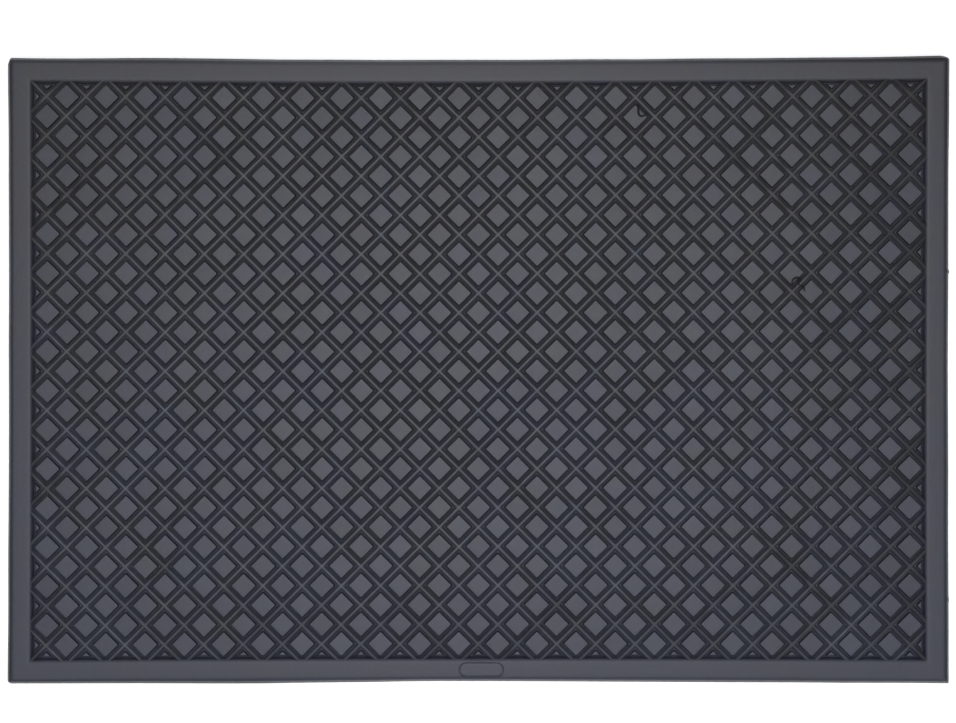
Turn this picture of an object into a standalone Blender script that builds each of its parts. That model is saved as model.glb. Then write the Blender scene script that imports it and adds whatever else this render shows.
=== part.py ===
"""Moulded rubber scraper door mat, 600 x 400 x 8 mm, modelled as its moulded elements.

A flat base sheet carries everything. On it lie a thin sheet of square lugs, a diagonal grid of tapered
scraper ribs that runs between the lugs, four mitred border strips, and a blank badge panel let into the
front strip. Origin: centre of the underside. X is the mat's width, Y its depth (front is -Y), Z is up.

Run: blender --background --python part.py
"""

import math

import bmesh
import bpy
from mathutils import Vector

MM = 0.001

# Overall size
MAT_WIDTH = 600 * MM
MAT_DEPTH = 400 * MM
CORNER_RADIUS = 3 * MM

# The diagonal pattern repeats every PITCH along X and along Y. A rib crossing is at the mat's centre.
PITCH = 25 * MM
HALF_PITCH = PITCH / 2
CELLS_ACROSS = 23
CELLS_DEEP = 15

# Heights above the floor
BASE_TOP = 1.5 * MM
GAP = 0.3 * MM
SKIN_BOTTOM = BASE_TOP + GAP
SKIN_TOP = SKIN_BOTTOM + 1.0 * MM
LUG_TOP = 5.5 * MM
RIB_FOOT = SKIN_TOP + GAP
RIB_TOP = 8.0 * MM
BORDER_TOP = 7.5 * MM

# Square lugs, turned 45 degrees
LUG_TOP_SIDE = 11.4 * MM
LUG_FOOT_SIDE = 12.4 * MM
LUG_ROOT = 0.5 * MM  # how far a lug reaches into its sheet, so that the two join
LUG_EDGE_TOP = 17.6 * MM  # from the mat's outer edge to where the lugs beside the border are cut off
LUG_EDGE_FOOT = 17.1 * MM

# Scraper ribs, triangular in section
RIB_FOOT_WIDTH = 4.2 * MM
RIB_OVERRUN = 4 * MM  # how far a rib is drawn past the border's inner edge before it is trimmed

# Border strips; distances run inwards from the mat's outer edge
BORDER_INNER_TOP = 15.0 * MM
BORDER_INNER_FOOT = 16.6 * MM
BORDER_OUTER_TOP = 2.1 * MM
OUTER_ROUND = 2.0 * MM
INNER_ROUND = 0.9 * MM
SHARPEST_CORNER = 0.4 * MM
OUTER_ROUND_STEPS = 3
INNER_ROUND_STEPS = 2
CORNER_STEPS = 2  # per half corner

# Blank badge panel in the front border strip
BADGE_WIDTH = 29.0 * MM
BADGE_HEIGHT = 9.9 * MM
BADGE_CENTRE_X = 2.0 * MM
BADGE_FROM_EDGE = 8.5 * MM
BADGE_RECESS = 1.2 * MM
BADGE_GROOVE = 0.6 * MM
BADGE_END_STEPS = 8

# Colours of the black rubber, linear RGB, and its roughness
RUBBER_COLOURS = {
    "base_rubber": (0.050, 0.051, 0.057),
    "lug_rubber": (0.082, 0.084, 0.098),
    "rib_rubber": (0.060, 0.061, 0.066),
    "border_rubber": (0.070, 0.071, 0.082),
    "badge_rubber": (0.074, 0.076, 0.088),
}
RUBBER_ROUGHNESS = 0.55


def clear_scene():
    for obj in list(bpy.data.objects):
        bpy.data.objects.remove(obj)


def rubber(name):
    """A Principled material in one of the rubber colours."""
    material = bpy.data.materials.new(name)
    material.use_nodes = True
    shader = material.node_tree.nodes["Principled BSDF"]
    shader.inputs["Base Color"].default_value = (*RUBBER_COLOURS[name], 1)
    shader.inputs["Roughness"].default_value = RUBBER_ROUGHNESS
    shader.inputs["Metallic"].default_value = 0
    return material


def add_object(name, bm, material=None):
    """Turns a bmesh into an object. Without a material it is a helper that only shapes other objects."""
    bmesh.ops.recalc_face_normals(bm, faces=bm.faces)
    mesh = bpy.data.meshes.new(name)
    bm.to_mesh(mesh)
    bm.free()
    obj = bpy.data.objects.new(name, mesh)
    bpy.context.scene.collection.objects.link(obj)
    if material:
        mesh.materials.append(material)
    else:
        obj.hide_render = True
        obj.display_type = "WIRE"
    return obj


def boolean(obj, operation, helper, joins_itself=False):
    modifier = obj.modifiers.new(operation.lower(), "BOOLEAN")
    modifier.operation = operation
    modifier.object = helper
    modifier.solver = "EXACT"
    modifier.use_self = joins_itself


def add_loft(bm, outlines):
    """Joins a stack of outlines with the same number of points, and closes both ends."""
    rings = [[bm.verts.new(point) for point in outline] for outline in outlines]
    for lower, upper in zip(rings, rings[1:]):
        for i in range(len(lower)):
            j = (i + 1) % len(lower)
            bm.faces.new((lower[i], lower[j], upper[j], upper[i]))
    bm.faces.new(list(reversed(rings[0])))
    bm.faces.new(rings[-1])


def rectangle(inset, z):
    """The mat's outline moved inwards by inset, at height z, with square corners."""
    x, y = MAT_WIDTH / 2 - inset, MAT_DEPTH / 2 - inset
    return [Vector((-x, -y, z)), Vector((x, -y, z)), Vector((x, y, z)), Vector((-x, y, z))]


def arc(centre, radius, start, end, steps):
    """Points on an arc in 2-D; the angles are in degrees."""
    angles = [math.radians(start + (end - start) * i / steps) for i in range(steps + 1)]
    return [Vector((centre[0] + radius * math.cos(a), centre[1] + radius * math.sin(a))) for a in angles]


def rounded_corner(before, corner, after, radius, steps):
    """The arc that rounds the corner of a 2-D outline."""
    to_before = (before - corner).normalized()
    to_after = (after - corner).normalized()
    half_angle = to_before.angle(to_after) / 2
    centre = corner + (to_before + to_after).normalized() * radius / math.sin(half_angle)
    start = corner + to_before * radius / math.tan(half_angle) - centre
    turn = start.angle_signed(corner + to_after * radius / math.tan(half_angle) - centre)
    first = math.degrees(math.atan2(start.y, start.x))
    return arc(centre, radius, first, first - math.degrees(turn), steps)


# Base sheet


def rounded_rectangle(z):
    x, y = MAT_WIDTH / 2 - CORNER_RADIUS, MAT_DEPTH / 2 - CORNER_RADIUS
    points = []
    for turn, centre in enumerate(((x, y), (-x, y), (-x, -y), (x, -y))):
        points += arc(centre, CORNER_RADIUS, 90 * turn, 90 * turn + 90, 2 * CORNER_STEPS)
    return [Vector((p.x, p.y, z)) for p in points]


def build_base_sheet():
    bm = bmesh.new()
    add_loft(bm, [rounded_rectangle(0), rounded_rectangle(BASE_TOP)])
    return add_object("base_sheet", bm, rubber("base_rubber"))


# Lug sheet


def lug_centres():
    """Centres of the lugs: every other point of the half-pitch grid, between the rib crossings."""
    for column in range(-CELLS_ACROSS, CELLS_ACROSS + 1):
        for row in range(-CELLS_DEEP, CELLS_DEEP + 1):
            at_corner = abs(column) == CELLS_ACROSS and abs(row) == CELLS_DEEP
            if (column + row) % 2 and not at_corner:
                yield column * HALF_PITCH, row * HALF_PITCH


def diamond(centre, side, z):
    x, y = centre
    reach = side / math.sqrt(2)
    return [Vector(p) for p in ((x + reach, y, z), (x, y + reach, z), (x - reach, y, z), (x, y - reach, z))]


def build_lug_sheet():
    taper = (LUG_FOOT_SIDE - LUG_TOP_SIDE) / (LUG_TOP - SKIN_TOP)
    lugs = bmesh.new()
    for centre in lug_centres():
        root = diamond(centre, LUG_FOOT_SIDE + taper * LUG_ROOT, SKIN_TOP - LUG_ROOT)
        add_loft(lugs, [root, diamond(centre, LUG_TOP_SIDE, LUG_TOP)])
    lugs = add_object("helper_lugs", lugs)

    # The lugs beside the border are cut off along it, with the same taper.
    slope = (LUG_EDGE_TOP - LUG_EDGE_FOOT) / (LUG_TOP - SKIN_TOP)
    low, high = SKIN_TOP - 2 * LUG_ROOT, LUG_TOP + LUG_ROOT
    limits = [rectangle(LUG_EDGE_FOOT + slope * (z - SKIN_TOP), z) for z in (low, high)]
    field = bmesh.new()
    add_loft(field, limits)
    boolean(lugs, "INTERSECT", add_object("helper_lug_field", field))

    skin = bmesh.new()
    inset = BORDER_INNER_FOOT + GAP
    add_loft(skin, [rectangle(inset, SKIN_BOTTOM), rectangle(inset, SKIN_TOP)])
    sheet = add_object("lug_sheet", skin, rubber("lug_rubber"))
    boolean(sheet, "UNION", lugs)
    return sheet


# Scraper grid


def border_inner_inset(z):
    """How far in from the outer edge the border's inner flank is at height z."""
    share = (z - SKIN_BOTTOM) / (BORDER_TOP - SKIN_BOTTOM)
    return BORDER_INNER_FOOT + (BORDER_INNER_TOP - BORDER_INNER_FOOT) * share


def add_rib(bm, offset, lean):
    """One rib along the line y = lean * (x - offset), with lean 1 or -1."""
    reach_x = MAT_WIDTH / 2 - BORDER_INNER_TOP + RIB_OVERRUN
    reach_y = MAT_DEPTH / 2 - BORDER_INNER_TOP + RIB_OVERRUN
    start = max(-reach_x, offset - reach_y)
    end = min(reach_x, offset + reach_y)
    across = Vector((-lean, 1, 0)).normalized() * RIB_FOOT_WIDTH / 2
    sections = []
    for x in (start, end):
        foot = Vector((x, lean * (x - offset), RIB_FOOT))
        crest = Vector((foot.x, foot.y, RIB_TOP))
        sections.append([foot - across, foot + across, crest])
    add_loft(bm, sections)


def build_scraper_grid():
    ribs = bmesh.new()
    outermost = (CELLS_ACROSS + CELLS_DEEP) // 2 - 1
    for number in range(-outermost, outermost + 1):
        for lean in (1, -1):
            add_rib(ribs, number * PITCH, lean)
    grid = add_object("scraper_grid", ribs, rubber("rib_rubber"))

    low, high = RIB_FOOT - LUG_ROOT, RIB_TOP + LUG_ROOT
    pocket = bmesh.new()
    add_loft(pocket, [rectangle(border_inner_inset(z) + GAP, z) for z in (low, high)])
    boolean(grid, "INTERSECT", add_object("helper_pocket", pocket), joins_itself=True)
    return grid


# Border strips


def border_section():
    """The strip's section as (distance from the outer edge, height) points."""
    outer_foot = Vector((0, SKIN_BOTTOM))
    outer_top = Vector((BORDER_OUTER_TOP, BORDER_TOP))
    inner_top = Vector((BORDER_INNER_TOP, BORDER_TOP))
    inner_foot = Vector((BORDER_INNER_FOOT, SKIN_BOTTOM))
    section = [outer_foot]
    section += rounded_corner(outer_foot, outer_top, inner_top, OUTER_ROUND, OUTER_ROUND_STEPS)
    section += rounded_corner(outer_top, inner_top, inner_foot, INNER_ROUND, INNER_ROUND_STEPS)
    section.append(inner_foot)
    return section


def strip_sections(length):
    """Sections along a strip whose outer edge lies on Y = 0, with half of a rounded corner at each end."""
    stations = []
    for end, first, last in ((-1, 225, 270), (1, 270, 315)):
        for step in range(CORNER_STEPS + 1):
            angle = math.radians(first + (last - first) * step / CORNER_STEPS)
            points = []
            for inset, z in border_section():
                radius = max(CORNER_RADIUS - inset, SHARPEST_CORNER)
                x = end * (length / 2 - inset - radius) + radius * math.cos(angle)
                y = inset + radius + radius * math.sin(angle)
                points.append(Vector((x, y, z)))
            stations.append(points)
    return stations


def trim(bm, point, normal):
    """Cuts off what lies beyond the plane and closes the cut."""
    everything = bm.verts[:] + bm.edges[:] + bm.faces[:]
    cut = bmesh.ops.bisect_plane(bm, geom=everything, plane_co=point, plane_no=normal, clear_outer=True)
    edges = [item for item in cut["geom_cut"] if isinstance(item, bmesh.types.BMEdge)]
    bmesh.ops.contextual_create(bm, geom=edges)


def build_border_strip(name, length, distance, turn):
    """A strip mitred at 45 degrees, set at this distance from the centre and turned about Z."""
    bm = bmesh.new()
    add_loft(bm, strip_sections(length))
    for end in (-1, 1):
        normal = Vector((end, -1, 0)).normalized()
        trim(bm, Vector((end * length / 2, 0, 0)) - normal * GAP / 2, normal)
    strip = add_object(name, bm, rubber("border_rubber"))
    strip.rotation_euler.z = math.radians(turn)
    angle = math.radians(turn)
    strip.location = (distance * math.sin(angle), -distance * math.cos(angle), 0)
    return strip


def build_border():
    half_width, half_depth = MAT_WIDTH / 2, MAT_DEPTH / 2
    front = build_border_strip("border_front", MAT_WIDTH, half_depth, 0)
    build_border_strip("border_right", MAT_DEPTH, half_width, 90)
    build_border_strip("border_back", MAT_WIDTH, half_depth, 180)
    build_border_strip("border_left", MAT_DEPTH, half_width, 270)
    return front


# Badge panel


def stadium(width, height, z):
    """An outline with straight sides and round ends, centred on the badge's place."""
    radius = height / 2
    x, y = width / 2 - radius, BADGE_FROM_EDGE - MAT_DEPTH / 2
    points = arc((BADGE_CENTRE_X + x, y), radius, -90, 90, BADGE_END_STEPS)
    points += arc((BADGE_CENTRE_X - x, y), radius, 90, 270, BADGE_END_STEPS)
    return [Vector((p.x, p.y, z)) for p in points]


def build_badge(front_strip):
    recess = bmesh.new()
    floor = BORDER_TOP - BADGE_RECESS
    add_loft(recess, [stadium(BADGE_WIDTH, BADGE_HEIGHT, z) for z in (floor, BORDER_TOP + BADGE_RECESS)])
    boolean(front_strip, "DIFFERENCE", add_object("helper_badge_recess", recess))

    width, height = BADGE_WIDTH - 2 * BADGE_GROOVE, BADGE_HEIGHT - 2 * BADGE_GROOVE
    panel = bmesh.new()
    add_loft(panel, [stadium(width, height, z) for z in (floor + GAP, BORDER_TOP)])
    return add_object("badge_panel", panel, rubber("badge_rubber"))


def main():
    clear_scene()
    build_base_sheet()
    build_lug_sheet()
    build_scraper_grid()
    front_strip = build_border()
    build_badge(front_strip)


main()
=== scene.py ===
"""Looks of a moulded rubber scraper door mat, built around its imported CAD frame.

The pieces lie in the frame's own coordinates: X along the mat's width, Y along its depth, with the front at
-Y, and Z up. The tread is laid out on the diagonal axes u = (x + y) / sqrt(2) and v = (y - x) / sqrt(2).
Rising ribs run along u and falling ribs along v, seen with the back edge at the top.
"""

import math

import bmesh
import bpy
import numpy as np
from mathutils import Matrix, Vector, noise


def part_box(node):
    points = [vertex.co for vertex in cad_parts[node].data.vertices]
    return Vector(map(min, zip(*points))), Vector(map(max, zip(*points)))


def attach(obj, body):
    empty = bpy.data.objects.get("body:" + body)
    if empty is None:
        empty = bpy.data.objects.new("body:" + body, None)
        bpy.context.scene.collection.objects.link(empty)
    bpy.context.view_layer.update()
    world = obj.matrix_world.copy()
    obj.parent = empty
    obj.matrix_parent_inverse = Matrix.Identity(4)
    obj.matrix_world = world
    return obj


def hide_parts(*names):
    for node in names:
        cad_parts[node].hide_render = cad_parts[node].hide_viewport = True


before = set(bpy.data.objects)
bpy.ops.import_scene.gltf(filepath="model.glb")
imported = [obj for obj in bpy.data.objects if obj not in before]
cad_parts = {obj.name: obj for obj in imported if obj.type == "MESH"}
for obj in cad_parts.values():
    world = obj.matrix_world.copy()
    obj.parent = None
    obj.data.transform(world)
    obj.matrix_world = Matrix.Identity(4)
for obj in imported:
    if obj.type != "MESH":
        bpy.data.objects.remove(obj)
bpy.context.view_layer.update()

MM = 0.001
SQRT_2 = math.sqrt(2)
LARGE_FACE_WEIGHT = 80  # 50 is neutral

# Sizes taken from the frame
BASE_LOW, BASE_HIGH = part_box("base_sheet")
LUG_LOW, LUG_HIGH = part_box("lug_sheet")
BADGE_LOW, BADGE_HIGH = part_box("badge_panel")
MAT_WIDTH = BASE_HIGH.x - BASE_LOW.x
MAT_DEPTH = BASE_HIGH.y - BASE_LOW.y
BASE_TOP = BASE_HIGH.z
LUG_TOP = LUG_HIGH.z
RIB_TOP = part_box("scraper_grid")[1].z
BORDER_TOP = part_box("border_front")[1].z

# How the mat lies, in plan. The tuples are polynomials of x as a share of the half width, highest power
# first. The single lengths are met in full at the mat's middle, corners or back edge.
BACK_SHIFT = (2.1 * MM, 0.58 * MM, -0.9 * MM)  # of the back edge, backwards, along x
FRONT_SHIFT = (-1.2 * MM, 0.2 * MM, 1.2 * MM)  # of the front edge, backwards, along x
MIDDLE_SAG = 0.2 * MM  # of the middle, forwards
ENDS_SHIFT = (1.3 * MM, 0, -0.9 * MM, 0)  # of the ends, to the right, along x
FLARE = 0.7 * MM  # of the corners, outwards
SKEW = 0.17 * MM  # of the back edge, to the right

# Pattern
PITCH = 25 * MM / SQRT_2  # between neighbouring ribs, square to them
COLUMNS = 23  # of half pitches from the centre to the outermost rib crossing, along X
ROWS = 15  # the same along Y
GROOVE_FLOOR = 3.6 * MM

# Ribs: (distance from the centre line on a fresh rib, the same on a worn rib, drop below the crest)
RIB_PROFILE = (
    (0, 0, 0), (0.36 * MM, 0.60 * MM, 0.03 * MM), (0.62 * MM, 1.00 * MM, 0.20 * MM),
    (1.45 * MM, 1.75 * MM, 2.3 * MM), (2.3 * MM, 2.3 * MM, 4.5 * MM),
)
RIB_FOOT_WIDTH, _, RIB_DEPTH = RIB_PROFILE[-1]
RIB_STEPS = 3  # mesh steps along a rib, between two crossings
RIB_SINK = 0.6 * MM  # how far the rib's underside lies below its foot
RIB_WANDER = 0.16 * MM
WANDER_LENGTH = 24 * MM
RIB_END_DROP = 1.3 * MM  # a rib that reaches the border sinks into it by this much,
RIB_END_FROM_EDGE = 18.6 * MM  # starting this far from the mat's outer edge,
RIB_END_REACH = 3.6 * MM  # over this distance
CREST_DEPTH = 1 * MM  # only this much of a rib, from its top, wanders

# Wear of the ribs, from 0 on a fresh rib. It widens the crests, and the rib material paints shade on worn
# crests in place of their highlight.
MOST_WORN = 2.2
FALLING_MIDDLE_WEAR = 0.25  # of falling ribs half way along the mat,
FALLING_RIGHT_GAIN = 0.9  # and how much more it is at the right end
RISING_LEFT_WEAR = 0.8  # of rising ribs at the left end
RIGHT_REACH = (0.6, 0.85)  # they grow worn between these shares of the half width at the right,
RIM_REACH = (0.5, 0.8)  # and all ribs between these shares of the half depth at the front and back,
RIM_WEAR = 0.55  # up to this
RIM_SLANT = 0.2  # how much more that is for rising ribs at the front edge, and less at the back
WEAR_UNEVEN = 0.9  # how much wear differs from rib to rib and along each
WEAR_UNEVEN_LENGTH = 90 * MM

# Lugs: (distance outside the top's outline, drop below the top)
LUG_SIDE = 11.5 * MM
LUG_PROFILE = ((-0.55 * MM, 0), (-0.30 * MM, 0.03 * MM), (0, 0.19 * MM), (0.55 * MM, 1.9 * MM))
LUG_CORNER = 0.7 * MM
LUG_TILT = 0.012
LUG_RISE = 0.05 * MM
LUG_FROM_EDGE = 17.6 * MM  # from the mat's outer edge to where the lugs beside the border are cut off

# Border: (distance in from the outer edge, height)
BORDER_PROFILE = (
    (0.30 * MM, 1.25 * MM), (0.30 * MM, 1.7 * MM), (0.85 * MM, 3.6 * MM), (1.40 * MM, 5.4 * MM),
    (1.70 * MM, 6.1 * MM), (2.10 * MM, 6.7 * MM), (2.65 * MM, 7.12 * MM), (3.35 * MM, 7.38 * MM),
    (4.30 * MM, 7.48 * MM), (7.0 * MM, 7.50 * MM), (10.0 * MM, 7.50 * MM), (13.2 * MM, 7.50 * MM),
    (14.1 * MM, 7.40 * MM), (14.8 * MM, 7.12 * MM), (15.4 * MM, 6.55 * MM), (16.1 * MM, 5.2 * MM),
    (16.9 * MM, 3.4 * MM), (16.9 * MM, 1.25 * MM),
)
BASE_PROFILE = (
    (1.2 * MM, 0), (0.45 * MM, 0.12 * MM), (0.08 * MM, 0.45 * MM), (0, 0.9 * MM),
    (0.06 * MM, 1.3 * MM), (0.25 * MM, 1.5 * MM),
)
EDGE_STEP = 1.25 * MM
CORNER_STEPS = 8
SHARPEST_CORNER = 0.5 * MM
EDGE_WAVE = 0.22 * MM
EDGE_WAVE_LENGTH = 45 * MM
EDGE_NICKS = 0.05 * MM
EDGE_NICKS_LENGTH = 3 * MM
EDGE_WAVE_FADE = 5 * MM  # the waves die out this far in from the edge
LUG_SHEET_MARGIN = BORDER_PROFILE[-3][0]  # the lug sheet ends under the foot of the border's inner slope

# Corners, anticlockwise from the front right: (side x, side y, reach along X, reach along Y, roundness).
# Roundness 2 is an arc and 1 a straight cut.
CORNERS = (
    (1, -1, 0.9 * MM, 0.9 * MM, 2),
    (1, 1, 7.0 * MM, 2.6 * MM, 2),
    (-1, 1, 1.7 * MM, 4.8 * MM, 1.15),
    (-1, -1, 2.5 * MM, 2.5 * MM, 2),
)

# Where the outer edge stands in or out by itself:
# (axis across that edge, its side, place along it, reach along it, length outwards)
FRONT, BACK, RIGHT = (1, -1), (1, 1), (0, 1)
EDGE_BOWS = (
    (*FRONT, 0, 65 * MM, -0.6 * MM),
    (*FRONT, -150 * MM, 60 * MM, 0.8 * MM),
    (*FRONT, -295 * MM, 30 * MM, -0.3 * MM),
    (*BACK, -190 * MM, 45 * MM, 0.6 * MM),
    (*BACK, -290 * MM, 30 * MM, -0.4 * MM),
    (*RIGHT, 62.7 * MM, 0.8 * MM, 0.9 * MM),  # a tab of flash
    (*RIGHT, -146.5 * MM, 0.8 * MM, 0.6 * MM),  # another
)

# Badge panel: (distance outside its outline, height above the border's top)
BADGE_PROFILE = (
    (0, -1.12 * MM), (0, -0.62 * MM), (-0.12 * MM, -0.27 * MM), (-0.3 * MM, -0.11 * MM),
    (-0.6 * MM, -0.04 * MM), (-1.4 * MM, -0.02 * MM),
)
RECESS_PROFILE = ((0.3575 * MM, -0.75 * MM), (0.65 * MM, 0.2 * MM))
RECESS_SHARP_ANGLE = 35
BADGE_CURVE_STEPS = 24

# Flash threads: thickness, then the points in millimetres that each is drawn along
BACK_THREAD = 1.35 * MM, (
    (101.7, 171.0, 5.6), (102.0, 168.6, 6.2), (102.0, 166.2, 6.1), (102.1, 164.0, 6.0),
    (103.6, 162.8, 5.9), (105.8, 163.2, 6.1), (107.2, 164.6, 6.3),
)
RIGHT_THREAD = 1.4 * MM, (
    (200.0, 54.6, 6.0), (200.3, 57.4, 6.1), (201.6, 59.1, 6.1), (204.0, 59.5, 6.4), (205.4, 58.0, 7.0),
    (204.6, 55.8, 7.3), (204.0, 54.3, 7.6), (206.3, 54.3, 7.3), (208.3, 52.9, 6.6), (207.9, 50.6, 6.1),
)

# Rubber
SHEEN = 0.34
GREYER = (1.04, 1.0, 0.90)
BLUER = (0.92, 1.0, 1.12)
TINT_SIZES = (11 * MM, 45 * MM)  # of the bluer and greyer spots
TINT_SHIFT = (-0.2, -0.8)  # makes the front edge bluer than the back edge
TINT_RANGE = (0.25, 0.75)  # greyest and bluest beyond these
GRAIN_SIZE = 0.5 * MM
GRAIN_SPREAD = 0.65  # how much it varies the colour
BLOTCH_SIZE = 4 * MM
BLOTCH_SPREAD = 0.40
BLOTCH_ROUGHNESS = 0.25  # how much blotches vary the roughness,
CLOUD_ROUGHNESS = 0.2  # and clouds
BLOTCH_BUMP = 1.5  # how much higher blotches stand than the grain
BUMP_DEPTH = 0.08 * MM
BUMP_STRENGTH = 0.8
LUG_UNSHADED_DROP = 0.15 * MM  # a lug keeps its full colour down to this far below its top; below that, painted shade darkens it towards the groove floor
OUTER_EDGE_SHADE = (0.5 * MM, 4 * MM, 0.3)  # painted shade darkens the rubber next to the outer edge: the share is the last value at the first distance in from the edge, and full at the second
# the same painted shade, for the ribs where they run into the border wall
RIB_END_SHADE = (15 * MM, 20 * MM, 0.65)
# Centre of a painted pool of light: tops are lighter round it, and groove flanks paler towards the corners
LIGHT_POOL_CENTRE = (-40 * MM, 60 * MM, 0)
LIGHT_POOL_REACH, CORNER_REACH = 90 * MM, 336 * MM  # distances from the centre of the painted pool of light
CREST_SHADE_WEAR = 1.2  # ribs worn this much or more get the most painted shade on their crests
BORDER_COLOUR = (0.0200, 0.0206, 0.0298)

# Studio. The camera looks straight down, and the mat lies a little below the middle of its frame.
CAMERA_PLACE = (-0.3 * MM, 6.1 * MM, 1.80)
FRAME_WIDTH = 1.0192 * MAT_WIDTH  # what the camera sees of the mat's plane
SENSOR_WIDTH = 36
FLOOR_SIZE = 8
FLOOR_ALBEDO = 0.92
FLOOR_ROUGHNESS = 0.9
FLOOR_CLOUD_SIZE, FLOOR_CLOUD_SPREAD = 0.4, 0.02
SKY_COLOUR, SKY_STRENGTH = (0.95, 0.97, 1.0, 1), 0.85
LIGHTS = (  # name, place, aim, size, power
    ("overhead", (0, 0, 2.2), (0, 0, 0), 0.9, 20),
    ("back", (0, 2.4, 1.5), (0, 0, 0), 1.2, 10),
    ("front right", (0.75, -0.65, 0.6), (0.1, 0, 0), 0.3, 3),
    ("front left", (-0.75, -0.65, 0.6), (-0.1, 0, 0), 0.3, 2.6),
)


# ---------------------------------------------------------------- shape helpers


def lie(points):
    """Moves points in plan from the moulded shape to how the mat lies.

    A rubber mat is never quite square on the floor: the back right corner is drawn out and the front edge
    bows in at its middle.
    """
    points = np.array(points, float)
    x = points[:, 0] / (MAT_WIDTH / 2)
    y = points[:, 1] / (MAT_DEPTH / 2)
    back, front = np.polyval(BACK_SHIFT, x), np.polyval(FRONT_SHIFT, x)
    points[:, 1] += front + (back - front) * (y + 1) / 2 - MIDDLE_SAG * (1 - y**2)
    points[:, 0] += np.polyval(ENDS_SHIFT, x) + FLARE * x * y**2 + SKEW * y
    return points


def rise(value, start, end):
    """Goes from 0 to 1 while value goes from start to end."""
    return min(max((value - start) / (end - start), 0), 1)


def wander(x, y, size, seed):
    """Smooth noise from about -1 to 1 that changes over a distance of size."""
    return noise.noise(Vector((x / size, y / size, seed)))


def make_object(name, points, faces, material, sharp_angle=50):
    """A smooth-shaded mesh of points in the moulded shape, laid as the mat lies."""
    mesh = bpy.data.meshes.new(name)
    mesh.from_pydata(lie(points).tolist(), [], faces)
    bm = bmesh.new()
    bm.from_mesh(mesh)
    bmesh.ops.recalc_face_normals(bm, faces=bm.faces)
    bm.to_mesh(mesh)
    bm.free()
    mesh.shade_smooth()
    mesh.set_sharp_from_angle(angle=math.radians(sharp_angle))
    mesh.materials.append(material)
    obj = bpy.data.objects.new(name, mesh)
    bpy.context.scene.collection.objects.link(obj)
    return obj


def apply_modifiers(obj):
    mesh = bpy.data.meshes.new_from_object(obj.evaluated_get(bpy.context.evaluated_depsgraph_get()))
    obj.modifiers.clear()
    obj.data = mesh


def settle_shading(obj):
    """Lets the large faces of a smooth mesh keep their own direction, so that flats look flat."""
    weighting = obj.modifiers.new("settle shading", "WEIGHTED_NORMAL")
    weighting.keep_sharp = True
    weighting.weight = LARGE_FACE_WEIGHT
    apply_modifiers(obj)


def to_xy(u, v):
    return (u - v) / SQRT_2, (u + v) / SQRT_2


def to_uv(x, y):
    return (x + y) / SQRT_2, (y - x) / SQRT_2


def from_profile(profile, distance):
    """The second value of a profile at this distance, held level beyond its ends."""
    distances, values = zip(*profile)
    return np.interp(distance, distances, values)


def loft_rings(rings):
    """Faces that join equal closed rings of points, numbered one after the other, into a closed tube."""
    count = len(rings[0])
    faces = []
    for ring in range(len(rings)):
        following = (ring + 1) % len(rings)
        for i in range(count):
            j = (i + 1) % count
            faces.append((ring * count + i, ring * count + j, following * count + j, following * count + i))
    return faces


def loft_solid(name, rings, material):
    """A solid whose skin passes through these rings, closed flat at the first and the last."""
    count = len(rings[0])
    faces = loft_rings(rings)[:-count]
    faces.append(list(range(count)))
    faces.append(list(range(count * (len(rings) - 1), count * len(rings))))
    return make_object(name, np.concatenate(rings), faces, material)


# ---------------------------------------------------------------- scraper ribs


def crossings():
    """Rib crossings (k, l) at u = k pitches, v = l pitches, as far as the border."""
    reach = COLUMNS + ROWS
    for k in range(-reach, reach + 1):
        for l in range(-reach, reach + 1):
            if abs(k - l) <= COLUMNS and abs(k + l) <= ROWS:
                yield k, l


def wear_and_crest_shade(x, y):
    """How worn the falling and the rising ribs are here. 0 is fresh. Worn crests are wider, and the rib
    material paints shade on them in place of a highlight.

    Both kinds are worn along the front and back and at the right end. Elsewhere the falling ones are
    fresh at the left and the rising ones right of the middle. Each rib differs from its neighbours.
    """
    side, depth = 2 * x / MAT_WIDTH, 2 * y / MAT_DEPTH
    u, v = to_uv(x, y)
    right = rise(side, *RIGHT_REACH)
    rim = rise(abs(depth), *RIM_REACH)
    falling = max(FALLING_MIDDLE_WEAR + FALLING_RIGHT_GAIN * side, RIM_WEAR * rim)
    falling += WEAR_UNEVEN * wander(v, 0, WEAR_UNEVEN_LENGTH, 1.7 * round(u / PITCH))
    rising = max(-RISING_LEFT_WEAR * side, right, (RIM_WEAR - RIM_SLANT * depth) * rim)
    rising += WEAR_UNEVEN * wander(u, 9 * MM, WEAR_UNEVEN_LENGTH, 1.7 * round(v / PITCH))
    return min(max(falling, 0), MOST_WORN), min(max(rising, 0), MOST_WORN)


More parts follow.
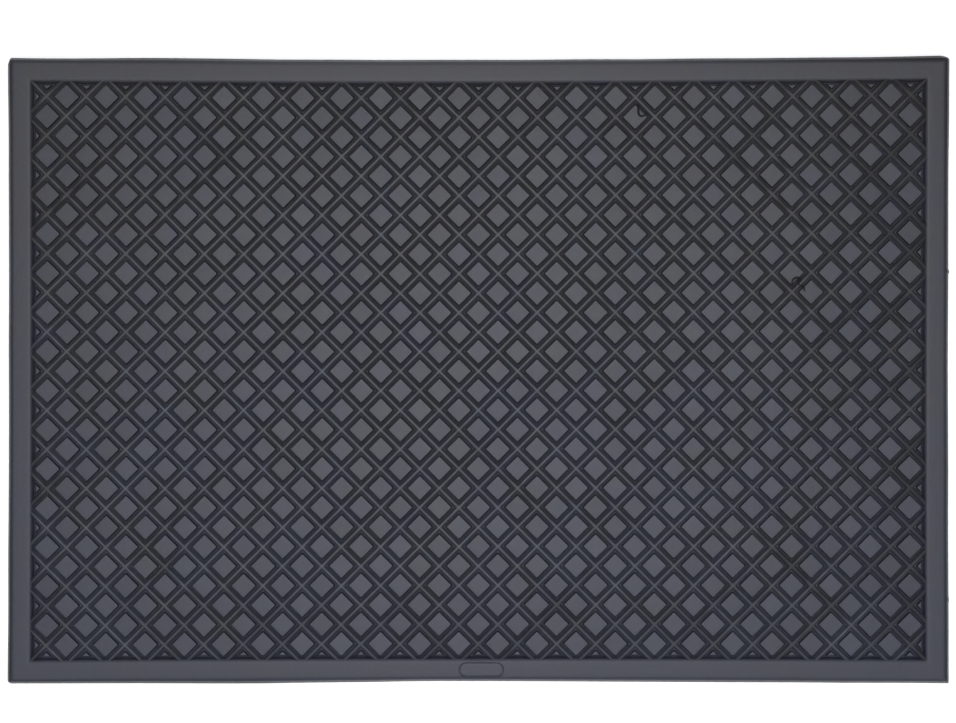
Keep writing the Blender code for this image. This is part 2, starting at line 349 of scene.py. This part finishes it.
class RibGrid:
    """Collects the closed surface of the rib grid on lines that run along and across the ribs."""

    def __init__(self):
        left = [(-fresh, fresh - worn, drop) for fresh, worn, drop in reversed(RIB_PROFILE[1:])]
        right = [(fresh, worn - fresh, drop) for fresh, worn, drop in RIB_PROFILE]
        gap = PITCH - 2 * RIB_FOOT_WIDTH
        between = [(RIB_FOOT_WIDTH + gap * step / RIB_STEPS, 0, RIB_DEPTH) for step in range(1, RIB_STEPS)]
        self.offsets, self.widening, self.drops = zip(*left, *right, *between)
        self.far = len(left) + len(right) - 1  # the line at a rib's far foot
        self.lines = len(self.offsets)
        self.points = []
        self.faces = []
        self.wear_and_crest_shade = []  # one value for each point
        self.known = {}

    def place(self, index):
        return index // self.lines * PITCH + self.offsets[index % self.lines]

    def point(self, i, j, low=False):
        key = (i, j, low)
        if key not in self.known:
            self.known[key] = len(self.points)
            self.points.append(self.foot(i, j) if low else self.top(i, j))
            self.wear_and_crest_shade.append(self.own_wear_and_crest_shade(i, j))
        return self.known[key]

    def own_wear_and_crest_shade(self, i, j):
        """Wear of the rib that this point belongs to, or the mean of both at a crossing, for the painted
        shade on the crests.
        """
        falling, rising = wear_and_crest_shade(*to_xy(self.place(i), self.place(j)))
        on_falling, on_rising = i % self.lines <= self.far, j % self.lines <= self.far
        return (on_falling * falling + on_rising * rising) / (on_falling + on_rising)

    def foot(self, i, j):
        return (*to_xy(self.place(i), self.place(j)), RIB_TOP - RIB_DEPTH - RIB_SINK)

    def top(self, i, j):
        u, v = self.place(i), self.place(j)
        falling, rising = wear_and_crest_shade(*to_xy(u, v))
        u += falling * self.widening[i % self.lines]
        v += rising * self.widening[j % self.lines]
        x, y = to_xy(u, v)
        drop = min(self.drops[i % self.lines], self.drops[j % self.lines])
        past = max(abs(x) - MAT_WIDTH / 2, abs(y) - MAT_DEPTH / 2) + RIB_END_FROM_EDGE
        sunk = RIB_END_DROP * rise(past, 0, RIB_END_REACH)
        if drop < CREST_DEPTH:
            x += RIB_WANDER * wander(x, y, WANDER_LENGTH, 3)
            y += RIB_WANDER * wander(x, y, WANDER_LENGTH, 11)
        return x, y, RIB_TOP - drop - sunk * (1 - drop / RIB_DEPTH)

    def patch(self, i, j, width, depth):
        for a in range(i, i + width):
            for b in range(j, j + depth):
                corners = ((a, b), (a + 1, b), (a + 1, b + 1), (a, b + 1))
                self.faces.append([self.point(*corner) for corner in corners])

    def strip(self, i, j, along_u):
        """Underside and side walls of a rib between two crossings."""
        for step in range(RIB_STEPS):
            near = [(i + n, j) if along_u else (i, j + n) for n in (step, step + 1)]
            far = [(a, b + self.far) if along_u else (a + self.far, b) for a, b in near]
            self.faces.append([self.point(*place, low=True) for place in near + far[::-1]])
            for edge in (near, far):
                wall = [self.point(*place) for place in edge]
                self.faces.append(wall + [self.point(*place, low=True) for place in edge[::-1]])

    def end(self, start, step):
        """Closes a crossing's side where no rib leaves it."""
        i, j = start
        row = [(i + step[0] * n, j + step[1] * n) for n in range(self.far + 1)]
        wall = [self.point(*place) for place in row]
        self.faces.append(wall + [self.point(*row[-1], low=True), self.point(*row[0], low=True)])

    def build(self):
        present = set(crossings())
        far = self.far
        for k, l in sorted(present):
            i, j = k * self.lines, l * self.lines
            self.patch(i, j, far, far)
            floor = ((i, j), (i + far, j), (i + far, j + far), (i, j + far))
            self.faces.append([self.point(*place, low=True) for place in floor])
            if (k + 1, l) in present:
                self.patch(i + far, j, RIB_STEPS, far)
                self.strip(i + far, j, along_u=True)
            else:
                self.end((i + far, j), (0, 1))
            if (k, l + 1) in present:
                self.patch(i, j + far, far, RIB_STEPS)
                self.strip(i, j + far, along_u=False)
            else:
                self.end((i, j + far), (1, 0))
            if (k - 1, l) not in present:
                self.end((i, j), (0, 1))
            if (k, l - 1) not in present:
                self.end((i, j), (1, 0))


def build_ribs(material):
    grid = RibGrid()
    grid.build()
    ribs = make_object("scraper_ribs", grid.points, grid.faces, material, sharp_angle=70)
    # The wear sets painted shade on the crests, in place of the highlight that one family of ribs or the
    # other catches.
    ribs.data.attributes.new("wear_and_crest_shade", "FLOAT", "POINT").data.foreach_set("value", grid.wear_and_crest_shade)
    return ribs


# ---------------------------------------------------------------- lugs


def lug_outline_distance(x, y):
    """Distance outside the nearest lug's top outline; negative on the lug."""
    u, v = to_uv(x, y)
    across = np.abs(u % PITCH - PITCH / 2) - LUG_SIDE / 2 + LUG_CORNER
    along = np.abs(v % PITCH - PITCH / 2) - LUG_SIDE / 2 + LUG_CORNER
    outside = np.hypot(np.maximum(across, 0), np.maximum(along, 0))
    square = outside + np.minimum(np.maximum(across, along), 0) - LUG_CORNER
    limit_x = np.abs(x) - MAT_WIDTH / 2 + LUG_FROM_EDGE
    limit_y = np.abs(y) - MAT_DEPTH / 2 + LUG_FROM_EDGE
    return np.maximum(square, np.maximum(limit_x, limit_y))


def lug_sheet_height(x, y):
    """Height of the lug sheet's upper surface. Each lug has a slight rise and tilt of its own."""
    u, v = to_uv(x, y)
    distance = lug_outline_distance(x, y)
    drop = from_profile(LUG_PROFILE, distance)
    reach = COLUMNS + ROWS
    own = np.random.default_rng(5).uniform(-1, 1, (2 * reach, 2 * reach, 3))
    k = np.floor(u / PITCH).astype(int) + reach
    l = np.floor(v / PITCH).astype(int) + reach
    last = 2 * reach - 1
    lift, tilt_u, tilt_v = np.moveaxis(own[np.clip(k, 0, last), np.clip(l, 0, last)], -1, 0)
    share = 1 - drop / LUG_PROFILE[-1][1]
    lean = LUG_TILT * (tilt_u * (u % PITCH - PITCH / 2) + tilt_v * (v % PITCH - PITCH / 2))
    return LUG_TOP - drop + share * (LUG_RISE * lift + lean)


def lug_lines():
    """Distances of the mesh's lines from a rib's centre line, in one pitch."""
    edge = PITCH / 2 - LUG_SIDE / 2
    near = [edge - distance for distance, _ in reversed(LUG_PROFILE)]
    return near + [PITCH / 2] + [PITCH - place for place in reversed(near)]


def bisect(bm, axis, place, trim=False):
    """Cuts the flat mesh along a line across this axis, on both sides of the middle."""
    for side in (-1, 1):
        point = Vector((0, 0, 0))
        normal = Vector((0, 0, 0))
        point[axis] = side * place
        normal[axis] = side
        everything = bm.verts[:] + bm.edges[:] + bm.faces[:]
        bmesh.ops.bisect_plane(
            bm, geom=everything, dist=1e-7, plane_co=point, plane_no=normal, clear_outer=trim,
        )


def build_lugs(material):
    half = (MAT_WIDTH / 2, MAT_DEPTH / 2)
    margin = LUG_SHEET_MARGIN
    places = lug_lines()
    count = COLUMNS + ROWS
    lines = [k * PITCH + place for k in range(-count, count) for place in places]
    u, v = np.meshgrid(lines, lines, indexing="ij")
    x, y = to_xy(u, v)
    inside = (np.abs(x) < half[0] - margin) & (np.abs(y) < half[1] - margin)
    kept = inside[:-1, :-1] | inside[1:, :-1] | inside[:-1, 1:] | inside[1:, 1:]

    numbers = np.full(x.shape, -1)
    a, b = np.nonzero(kept)
    corners = ((a, b), (a + 1, b), (a + 1, b + 1), (a, b + 1))
    for corner in corners:
        numbers[corner] = 0
    used = numbers == 0
    numbers[used] = np.arange(used.sum())
    faces = np.stack([numbers[corner] for corner in corners], axis=1)
    flat = np.stack([x[used], y[used], np.zeros(used.sum())], axis=1)

    mesh = bpy.data.meshes.new("lug_plan")
    mesh.from_pydata(flat.tolist(), [], faces.tolist())
    bm = bmesh.new()
    bm.from_mesh(mesh)
    bpy.data.meshes.remove(mesh)
    for axis in (0, 1):
        bisect(bm, axis, half[axis] - margin, trim=True)
        for distance, _ in LUG_PROFILE:
            bisect(bm, axis, half[axis] - LUG_FROM_EDGE + distance)
    bm.verts.ensure_lookup_table()
    plan = np.array([vert.co for vert in bm.verts])
    for vert, z in zip(bm.verts, lug_sheet_height(plan[:, 0], plan[:, 1])):
        vert.co.z = z
    rim = [edge for edge in bm.edges if edge.is_boundary]
    lower = bmesh.ops.extrude_edge_only(bm, edges=rim)["geom"]
    for vert in (item for item in lower if isinstance(item, bmesh.types.BMVert)):
        vert.co.z = LUG_LOW.z
    bmesh.ops.edgeloop_fill(bm, edges=[item for item in lower if isinstance(item, bmesh.types.BMEdge)])
    points = [tuple(vert.co) for vert in bm.verts]
    bm.verts.index_update()
    surface = [[vert.index for vert in face.verts] for face in bm.faces]
    bm.free()
    return make_object("lug_field", points, surface, material)


# ---------------------------------------------------------------- border and base


def corner_points(corner, turn, inset):
    side_x, side_y, reach_x, reach_y, roundness = corner
    radius_x = max(reach_x - inset, SHARPEST_CORNER)
    radius_y = max(reach_y - inset, SHARPEST_CORNER)
    centre_x = side_x * (MAT_WIDTH / 2 - inset - radius_x)
    centre_y = side_y * (MAT_DEPTH / 2 - inset - radius_y)
    points = []
    for step in range(CORNER_STEPS + 1):
        angle = math.radians(90 * (turn + step / CORNER_STEPS))
        east = math.copysign(abs(math.cos(angle)) ** (2 / roundness), math.cos(angle))
        north = math.copysign(abs(math.sin(angle)) ** (2 / roundness), math.sin(angle))
        points.append((centre_x + radius_x * east, centre_y + radius_y * north))
    return points


def outline(inset):
    """The mat's plan outline moved inwards by inset, anticlockwise. Every inset gives as many points."""
    corners = [corner_points(corner, turn - 1, inset) for turn, corner in enumerate(CORNERS)]
    points = []
    for number, corner in enumerate(corners):
        points += corner
        (x, y), (next_x, next_y) = corner[-1], corners[(number + 1) % len(corners)][0]
        side = MAT_DEPTH if number % 2 == 0 else MAT_WIDTH
        steps = round(side / EDGE_STEP)
        for step in range(1, steps):
            share = step / steps
            points.append((x + (next_x - x) * share, y + (next_y - y) * share))
    return np.array(points)


def edge_movement():
    """How far the outer edge stands out at each point of the outline, as vectors."""
    edge = outline(0)
    outward = edge - outline(MM)
    outward /= np.linalg.norm(outward, axis=1, keepdims=True)
    amount = np.array([
        EDGE_WAVE * wander(x, y, EDGE_WAVE_LENGTH, 1) + EDGE_NICKS * wander(x, y, EDGE_NICKS_LENGTH, 2)
        for x, y in edge
    ])
    half = (MAT_WIDTH / 2, MAT_DEPTH / 2)
    for axis, side, place, reach, length in EDGE_BOWS:
        on_edge = side * edge[:, axis] > half[axis] - MM
        amount += on_edge * length * np.exp(-(((edge[:, 1 - axis] - place) / reach) ** 2))
    return outward * amount[:, None]


def profile_rings(profile, movement):
    """One closed ring of points for each (inset, height) of the profile."""
    rings = []
    for inset, z in profile:
        share = max(1 - inset / EDGE_WAVE_FADE, 0)
        ring = outline(inset) + movement * share
        rings.append(np.column_stack([ring, np.full(len(ring), z)]))
    return rings


def build_border(material, movement):
    rings = profile_rings(BORDER_PROFILE, movement)
    border = make_object("border_frame", np.concatenate(rings), loft_rings(rings), material)
    cut_badge_recess(border)
    return border


def build_base(material, movement):
    return loft_solid("base_plate", profile_rings(BASE_PROFILE, movement), material)


# ---------------------------------------------------------------- badge


def stadium(grow, z):
    """The badge panel's outline, moved outwards by grow."""
    centre = (BADGE_LOW + BADGE_HIGH) / 2
    radius = (BADGE_HIGH.y - BADGE_LOW.y) / 2
    straight = (BADGE_HIGH.x - BADGE_LOW.x) / 2 - radius
    points = []
    for side, start in ((1, -90), (-1, 90)):
        for step in range(BADGE_CURVE_STEPS + 1):
            angle = math.radians(start + 180 * step / BADGE_CURVE_STEPS)
            x = centre.x + side * straight + (radius + grow) * math.cos(angle)
            points.append((x, centre.y + (radius + grow) * math.sin(angle), z))
    return points


def cut_badge_recess(border):
    rings = [stadium(grow, BORDER_TOP + above) for grow, above in RECESS_PROFILE]
    cutter = loft_solid("badge_cutter", rings, border.data.materials[0])
    recess = border.modifiers.new("badge recess", "BOOLEAN")
    recess.operation = "DIFFERENCE"
    recess.object = cutter
    recess.solver = "EXACT"
    apply_modifiers(border)
    bpy.data.objects.remove(cutter)
    border.data.set_sharp_from_angle(angle=math.radians(RECESS_SHARP_ANGLE))


def build_badge(material):
    rings = [stadium(grow, BORDER_TOP + above) for grow, above in BADGE_PROFILE]
    return loft_solid("badge_blank", rings, material)


# ---------------------------------------------------------------- flash threads


def flash_thread(name, thickness, route, material):
    """A curl of moulding flash: a thin thread drawn along these points, tapered to its ends."""
    curve = bpy.data.curves.new(name, "CURVE")
    curve.dimensions = "3D"
    curve.bevel_depth = thickness / 2
    curve.bevel_resolution = 3
    curve.use_fill_caps = True
    spline = curve.splines.new("NURBS")
    spline.points.add(len(route) - 1)
    laid = lie(np.array(route) * MM)
    for number, (point, place) in enumerate(zip(spline.points, laid)):
        point.co = (*place, 1)
        point.radius = 0.5 + 0.5 * math.sin(math.pi * number / (len(route) - 1))
    spline.use_endpoint_u = True
    spline.order_u = 4
    curve.materials.append(material)
    obj = bpy.data.objects.new(name, curve)
    bpy.context.scene.collection.objects.link(obj)
    return obj


def build_threads(material):
    threads = {"flash_thread_back": BACK_THREAD, "flash_thread_right": RIGHT_THREAD}
    return [flash_thread(name, *thread, material) for name, thread in threads.items()]


# ---------------------------------------------------------------- materials


def feed(tree, socket, value):
    """Links another socket to this one, or sets a plain value."""
    if isinstance(value, bpy.types.NodeSocket):
        tree.links.new(value, socket)
    else:
        socket.default_value = value


def add_math(tree, operation, first, second):
    node = tree.nodes.new("ShaderNodeMath")
    node.operation = operation
    for socket, value in zip(node.inputs, (first, second)):
        feed(tree, socket, value)
    return node.outputs[0]


def add_noise(tree, place, size, detail=3.0, roughness=0.5):
    """Noise from 0 to 1 with features of about this size."""
    node = tree.nodes.new("ShaderNodeTexNoise")
    node.inputs["Scale"].default_value = 1 / size
    node.inputs["Detail"].default_value = detail
    node.inputs["Roughness"].default_value = roughness
    tree.links.new(place, node.inputs["Vector"])
    return node.outputs["Fac"]


def varied(tree, value, amount):
    """Turns a 0 to 1 value into a factor round 1."""
    spread = add_math(tree, "MULTIPLY", add_math(tree, "SUBTRACT", value, 0.5), amount)
    return add_math(tree, "ADD", spread, 1)


def by_lug(tree, place):
    """A value from 0 to 1 that is the same all over one lug."""
    turn = tree.nodes.new("ShaderNodeMapping")
    turn.inputs["Rotation"].default_value[2] = -math.pi / 4
    turn.inputs["Scale"].default_value = (1 / PITCH,) * 3
    tree.links.new(place, turn.inputs["Vector"])
    cell = tree.nodes.new("ShaderNodeVectorMath")
    cell.operation = "FLOOR"
    tree.links.new(turn.outputs[0], cell.inputs[0])
    random = tree.nodes.new("ShaderNodeTexWhiteNoise")
    random.noise_dimensions = "2D"
    tree.links.new(cell.outputs[0], random.inputs["Vector"])
    return random.outputs["Value"]


def from_edge(tree, x, y):
    """Distance from the mat's nearest outer edge."""
    inset_x = add_math(tree, "SUBTRACT", MAT_WIDTH / 2, add_math(tree, "ABSOLUTE", x, 0))
    inset_y = add_math(tree, "SUBTRACT", MAT_DEPTH / 2, add_math(tree, "ABSOLUTE", y, 0))
    return add_math(tree, "MINIMUM", inset_x, inset_y)


def ramp(tree, value, start, end, start_share, end_share):
    """Goes from start_share to end_share while value goes from start to end."""
    node = tree.nodes.new("ShaderNodeMapRange")
    names = ("Value", "From Min", "From Max", "To Min", "To Max")
    for name, given in zip(names, (value, start, end, start_share, end_share)):
        feed(tree, node.inputs[name], given)
    return node.outputs[0]


def mixed(tree, share, first, second):
    """The first colour where share is 0 and the second where it is 1."""
    node = tree.nodes.new("ShaderNodeMix")
    node.data_type = "RGBA"
    tree.links.new(share, node.inputs["Factor"])
    for identifier, hue in (("A_Color", first), ("B_Color", second)):
        socket = next(item for item in node.inputs if item.identifier == identifier)
        socket.default_value = (*hue, 1)
    return next(item for item in node.outputs if item.identifier == "Result_Color")


def rubber(
    name, colour, roughness=0.42, heights=(0, 1 * MM), near=(1, 1), far=None,
    edge_shade=OUTER_EDGE_SHADE, clouds=0.30, cloud_size=70 * MM, lug_spread=0.0, crest_shade_share=None,
):
    """Moulded black rubber with a fine grain and a cloudy bloom, bluer in some places than in others.

    Colour and sheen go from a share at the first height to another at the second: painted shade darkens the
    low parts, or painted light makes them paler.
    The two shares in near hold round the centre of a painted pool of light and those in far towards the
    corners. The second is multiplied by crest_shade_share where a rib is worn, painting shade on those
    crests in place of a highlight, and both are darkened by painted shade near the mat's outer edge as
    edge_shade says. The bloom varies by clouds from place to place, and by lug_spread from lug to lug.
    """
    material = bpy.data.materials.new(name)
    material.use_nodes = True
    tree = material.node_tree
    shader = tree.nodes["Principled BSDF"]
    place = tree.nodes.new("ShaderNodeTexCoord").outputs["Object"]

    cloud = add_noise(tree, place, cloud_size, detail=4, roughness=0.6)
    blotch = add_noise(tree, place, BLOTCH_SIZE, detail=3, roughness=0.6)
    grain = add_noise(tree, place, GRAIN_SIZE, detail=2)
    gain = add_math(tree, "MULTIPLY", varied(tree, cloud, clouds), varied(tree, blotch, BLOTCH_SPREAD))
    gain = add_math(tree, "MULTIPLY", gain, varied(tree, grain, GRAIN_SPREAD))
    if lug_spread:
        gain = add_math(tree, "MULTIPLY", gain, varied(tree, by_lug(tree, place), lug_spread))
    split = tree.nodes.new("ShaderNodeSeparateXYZ")
    tree.links.new(place, split.inputs[0])
    x, y, z = split.outputs
    # Distance from the centre of the painted pool of light
    away = tree.nodes.new("ShaderNodeVectorMath")
    away.operation = "DISTANCE"
    away.inputs[1].default_value = LIGHT_POOL_CENTRE
    tree.links.new(place, away.inputs[0])
    ends = [
        ramp(tree, away.outputs["Value"], LIGHT_POOL_REACH, CORNER_REACH, here, there)
        for here, there in zip(near, far or near)
    ]
    if crest_shade_share is not None:
        # Painted shade on worn crests, standing in for their missing highlight
        wear_for_crest_shade = tree.nodes.new("ShaderNodeAttribute")
        wear_for_crest_shade.attribute_name = "wear_and_crest_shade"
        crest_shade = ramp(tree, wear_for_crest_shade.outputs["Fac"], 0, CREST_SHADE_WEAR, 1, crest_shade_share)
        ends[1] = add_math(tree, "MULTIPLY", ends[1], crest_shade)
    # Painted shade near the mat's outer edge
    start, end, least = edge_shade
    painted_edge_shade = ramp(tree, from_edge(tree, x, y), start, end, least, 1)
    # The height ramp paints shade into the grooves and hollows and light onto some flanks and walls; the
    # same share also dims the sheen.
    share = add_math(tree, "MULTIPLY", ramp(tree, z, *heights, *ends), painted_edge_shade)
    gain = add_math(tree, "MULTIPLY", gain, share)
    tree.links.new(add_math(tree, "MULTIPLY", share, SHEEN), shader.inputs["Specular IOR Level"])
    small, large = TINT_SIZES
    spots = add_math(tree, "ADD", add_noise(tree, place, small, detail=2), add_noise(tree, place, large))
    blueness = add_math(tree, "ADD", spots, ramp(tree, y, -MAT_DEPTH / 2, MAT_DEPTH / 2, *TINT_SHIFT))
    hues = [[part * change for part, change in zip(colour, lean)] for lean in (GREYER, BLUER)]
    tint = tree.nodes.new("ShaderNodeVectorMath")
    tint.operation = "SCALE"
    tree.links.new(mixed(tree, ramp(tree, blueness, *TINT_RANGE, 0, 1), *hues), tint.inputs[0])
    tree.links.new(gain, tint.inputs["Scale"])
    tree.links.new(tint.outputs[0], shader.inputs["Base Color"])

    rough = add_math(tree, "MULTIPLY", varied(tree, blotch, BLOTCH_ROUGHNESS), roughness)
    rough = add_math(tree, "MULTIPLY", rough, varied(tree, cloud, CLOUD_ROUGHNESS))
    tree.links.new(rough, shader.inputs["Roughness"])

    pitting = add_math(tree, "ADD", grain, add_math(tree, "MULTIPLY", blotch, BLOTCH_BUMP))
    bump = tree.nodes.new("ShaderNodeBump")
    bump.inputs["Strength"].default_value = BUMP_STRENGTH
    bump.inputs["Distance"].default_value = BUMP_DEPTH
    tree.links.new(pitting, bump.inputs["Height"])
    tree.links.new(bump.outputs["Normal"], shader.inputs["Normal"])
    return material


# ---------------------------------------------------------------- stage


def build_floor():
    bpy.ops.mesh.primitive_plane_add(size=FLOOR_SIZE)
    floor = bpy.context.object
    floor.name = "floor"
    material = bpy.data.materials.new("pale_floor")
    material.use_nodes = True
    tree = material.node_tree
    shader = tree.nodes["Principled BSDF"]
    place = tree.nodes.new("ShaderNodeTexCoord").outputs["Object"]
    gain = varied(tree, add_noise(tree, place, FLOOR_CLOUD_SIZE), FLOOR_CLOUD_SPREAD)
    tint = tree.nodes.new("ShaderNodeVectorMath")
    tint.operation = "SCALE"
    tint.inputs[0].default_value = (FLOOR_ALBEDO,) * 3
    tree.links.new(gain, tint.inputs["Scale"])
    tree.links.new(tint.outputs[0], shader.inputs["Base Color"])
    shader.inputs["Roughness"].default_value = FLOOR_ROUGHNESS
    floor.data.materials.append(material)


def area_light(name, place, aim, size, power):
    light = bpy.data.lights.new(name, "AREA")
    light.energy = power
    light.size = size
    obj = bpy.data.objects.new(name, light)
    obj.location = place
    obj.rotation_euler = (Vector(aim) - Vector(place)).to_track_quat("-Z", "Y").to_euler()
    bpy.context.scene.collection.objects.link(obj)


def build_lights():
    world = bpy.data.worlds.new("studio")
    bpy.context.scene.world = world
    world.use_nodes = True
    background = world.node_tree.nodes["Background"]
    background.inputs["Color"].default_value = SKY_COLOUR
    background.inputs["Strength"].default_value = SKY_STRENGTH
    for light in LIGHTS:
        area_light(*light)
    bpy.context.scene.view_settings.view_transform = "Standard"


def build_camera():
    camera = bpy.data.cameras.new("camera")
    camera.sensor_width = SENSOR_WIDTH
    camera.lens = SENSOR_WIDTH * (CAMERA_PLACE[2] - BASE_TOP) / FRAME_WIDTH
    obj = bpy.data.objects.new("camera", camera)
    obj.location = CAMERA_PLACE
    bpy.context.scene.collection.objects.link(obj)
    bpy.context.scene.camera = obj


# ---------------------------------------------------------------- assembly


def main():
    # Painted shade: the base plate is made much darker than the rest of the same rubber, so that the mat's
    # outer foot looks dark.
    base_rubber = rubber("base_rubber", (0.012, 0.012, 0.015), 0.8, near=(0.1, 0.1))
    # Lugs: painted shade darkens the grooves towards their floor; the tops are a little lighter round the
    # painted pool of light, and the grooves paler away from it.
    lug_rubber = rubber(
        "lug_rubber", (0.0190, 0.0200, 0.0310), 0.40, heights=(GROOVE_FLOOR, LUG_TOP - LUG_UNSHADED_DROP),
        near=(0.72, 1), far=(1.05, 0.96), lug_spread=0.22,
    )
    # Ribs: painted light makes the flanks paler towards the corners, and painted shade dulls worn crests
    # and darkens the ribs next to the border.
    rib_rubber = rubber(
        "rib_rubber", (0.0285, 0.0295, 0.0370), 0.44, heights=(GROOVE_FLOOR, RIB_TOP),
        near=(1.15, 1.2), far=(1.6, 1.07), edge_shade=RIB_END_SHADE, clouds=0.45, cloud_size=45 * MM, crest_shade_share=0.4,
    )
    # Border: painted light makes its lower inner wall paler than the top, and painted shade darkens its
    # outer wall; the top is a little darker away from the painted pool of light.
    border_rubber = rubber(
        "border_rubber", BORDER_COLOUR, heights=(BASE_TOP, BORDER_TOP), near=(1.5, 1), far=(1.5, 0.93),
    )
    badge_rubber = rubber("badge_rubber", BORDER_COLOUR)
    # Painted shade: the flash threads are made darker than the mat's rubber, standing in for the shadow
    # round them.
    thread_rubber = rubber("thread_rubber", (0.006, 0.006, 0.008), 0.6, near=(0.5, 0.5))

    movement = edge_movement()
    base = build_base(base_rubber, movement)
    lugs = build_lugs(lug_rubber)
    ribs = build_ribs(rib_rubber)
    border = build_border(border_rubber, movement)
    badge = build_badge(badge_rubber)
    threads = build_threads(thread_rubber)

    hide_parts("base_sheet")
    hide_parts("lug_sheet")
    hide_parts("scraper_grid")
    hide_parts("border_front", "border_right", "border_back", "border_left")
    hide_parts("badge_panel")
    slots = {
        base: "base_rubber",
        lugs: "lug_rubber",
        ribs: "rib_rubber",
        border: "border_rubber",
        badge: "badge_rubber",
    }
    for piece, slot in slots.items():
        settle_shading(piece)
        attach(piece, "root")
    for thread in threads:
        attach(thread, "root")

    build_floor()
    build_lights()
    build_camera()


main()
